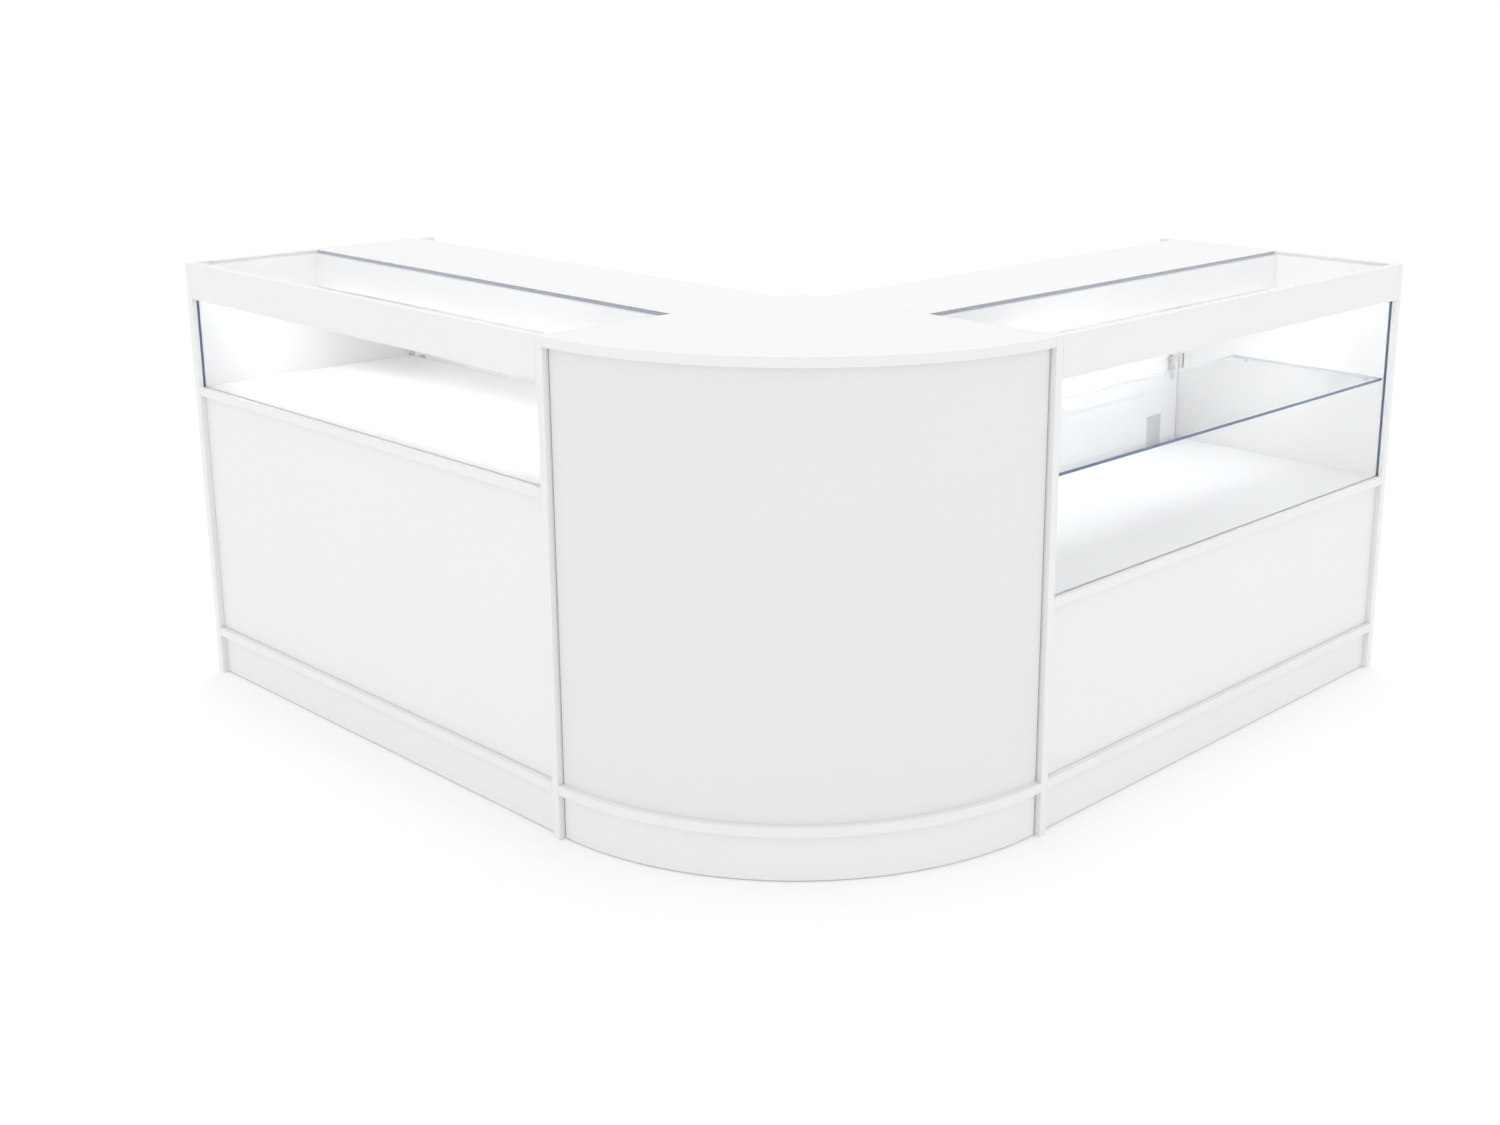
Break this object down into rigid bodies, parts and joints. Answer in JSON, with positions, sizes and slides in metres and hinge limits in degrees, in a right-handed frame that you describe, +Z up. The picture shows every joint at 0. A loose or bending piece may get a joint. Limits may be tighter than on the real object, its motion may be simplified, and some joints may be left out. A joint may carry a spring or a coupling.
{
  "type": "checkout counter",
  "caption": "L-shaped white retail counter: quadrant corner unit, glazed display wings with lit cases, rear sliding doors and flat worktops.",
  "frame": {"origin": "on the floor, at the centre of the square that the counter's footprint fills", "axes": "+Z up; customers stand at -X and -Y, staff at +X +Y; the left wing runs along +Y and the right wing along +X"},
  "size_m": [1.8, 1.8, 0.9],
  "materials": {
    "white_board": "satin white melamine on chipboard, edges banded to match",
    "door_board": "satin white melamine, 12 mm",
    "curved_laminate": "matt white laminate on bendable board",
    "clear_glass": "clear glass with polished blue-grey edges",
    "aluminium": "satin anodised",
    "opal_plastic": "opal, lit from behind",
    "grey_plastic": "fine satin moulded grey",
    "chrome": "polished nickel plate",
    "steel": "zinc plated"
  },
  "bodies": {
    "counter_body": {"left_inner_gable": "white_board", "left_outer_gable": "white_board", "left_base_board": "white_board", "left_front_plinth": "white_board", "left_rear_plinth": "white_board", "left_front_panel": "white_board", "left_display_deck": "white_board", "left_fascia": "white_board", "left_worktop": "white_board", "left_centre_rail": "white_board", "left_front_glass": "clear_glass", "left_top_glass": "clear_glass", "left_light_channel": "aluminium", "left_light_diffuser": "opal_plastic", "left_lower_track": "aluminium", "left_upper_track": "aluminium", "left_connector_bolt": "steel", "right_inner_gable": "white_board", "right_outer_gable": "white_board", "right_base_board": "white_board", "right_front_plinth": "white_board", "right_rear_plinth": "white_board", "right_front_panel": "white_board", "right_display_deck": "white_board", "right_fascia": "white_board", "right_worktop": "white_board", "right_centre_rail": "white_board", "right_front_glass": "clear_glass", "right_top_glass": "clear_glass", "right_light_channel": "aluminium", "right_light_diffuser": "opal_plastic", "right_lower_track": "aluminium", "right_upper_track": "aluminium", "right_connector_bolt": "steel", "left_storage_shelf": "white_board", "right_glass_shelf": "clear_glass", "right_shelf_pin_inner_front": "chrome", "right_shelf_pin_inner_rear": "chrome", "right_shelf_pin_outer_front": "chrome", "right_shelf_pin_outer_rear": "chrome", "corner_top": "white_board", "corner_base_board": "white_board", "corner_former": "white_board", "corner_left_side": "white_board", "corner_right_side": "white_board", "corner_curved_panel": "curved_laminate", "corner_curved_plinth": "curved_laminate"},
    "left_outer_door_body": {"left_outer_door": "door_board", "left_outer_door_pull": "grey_plastic", "left_lock_body": "chrome"},
    "left_inner_door_body": {"left_inner_door": "door_board", "left_inner_door_pull": "grey_plastic"},
    "left_lock_cylinder": {"left_lock_barrel": "chrome"},
    "right_outer_door_body": {"right_outer_door": "door_board", "right_outer_door_pull": "grey_plastic", "right_lock_body": "chrome"},
    "right_inner_door_body": {"right_inner_door": "door_board", "right_inner_door_pull": "grey_plastic"},
    "right_lock_cylinder": {"right_lock_barrel": "chrome"}
  },
  "joints": [
    {"name": "left_outer_door_slide", "type": "slide", "parent": "counter_body", "child": "left_outer_door_body", "axis": [0, -1, 0], "range_m": [0, 0.55]},
    {"name": "left_inner_door_slide", "type": "slide", "parent": "counter_body", "child": "left_inner_door_body", "axis": [0, -1, 0], "range_m": [-0.55, 0]},
    {"name": "left_lock_turn", "type": "hinge", "parent": "left_outer_door_body", "child": "left_lock_cylinder", "pos_m": [-0.364, 0.842, 0.633], "axis": [1, 0, 0], "range_deg": [0, 90]},
    {"name": "right_outer_door_slide", "type": "slide", "parent": "counter_body", "child": "right_outer_door_body", "axis": [-1, 0, 0], "range_m": [0, 0.55]},
    {"name": "right_inner_door_slide", "type": "slide", "parent": "counter_body", "child": "right_inner_door_body", "axis": [-1, 0, 0], "range_m": [-0.55, 0]},
    {"name": "right_lock_turn", "type": "hinge", "parent": "right_outer_door_body", "child": "right_lock_cylinder", "pos_m": [0.842, -0.364, 0.633], "axis": [0, -1, 0], "range_deg": [0, 90]}
  ]
}
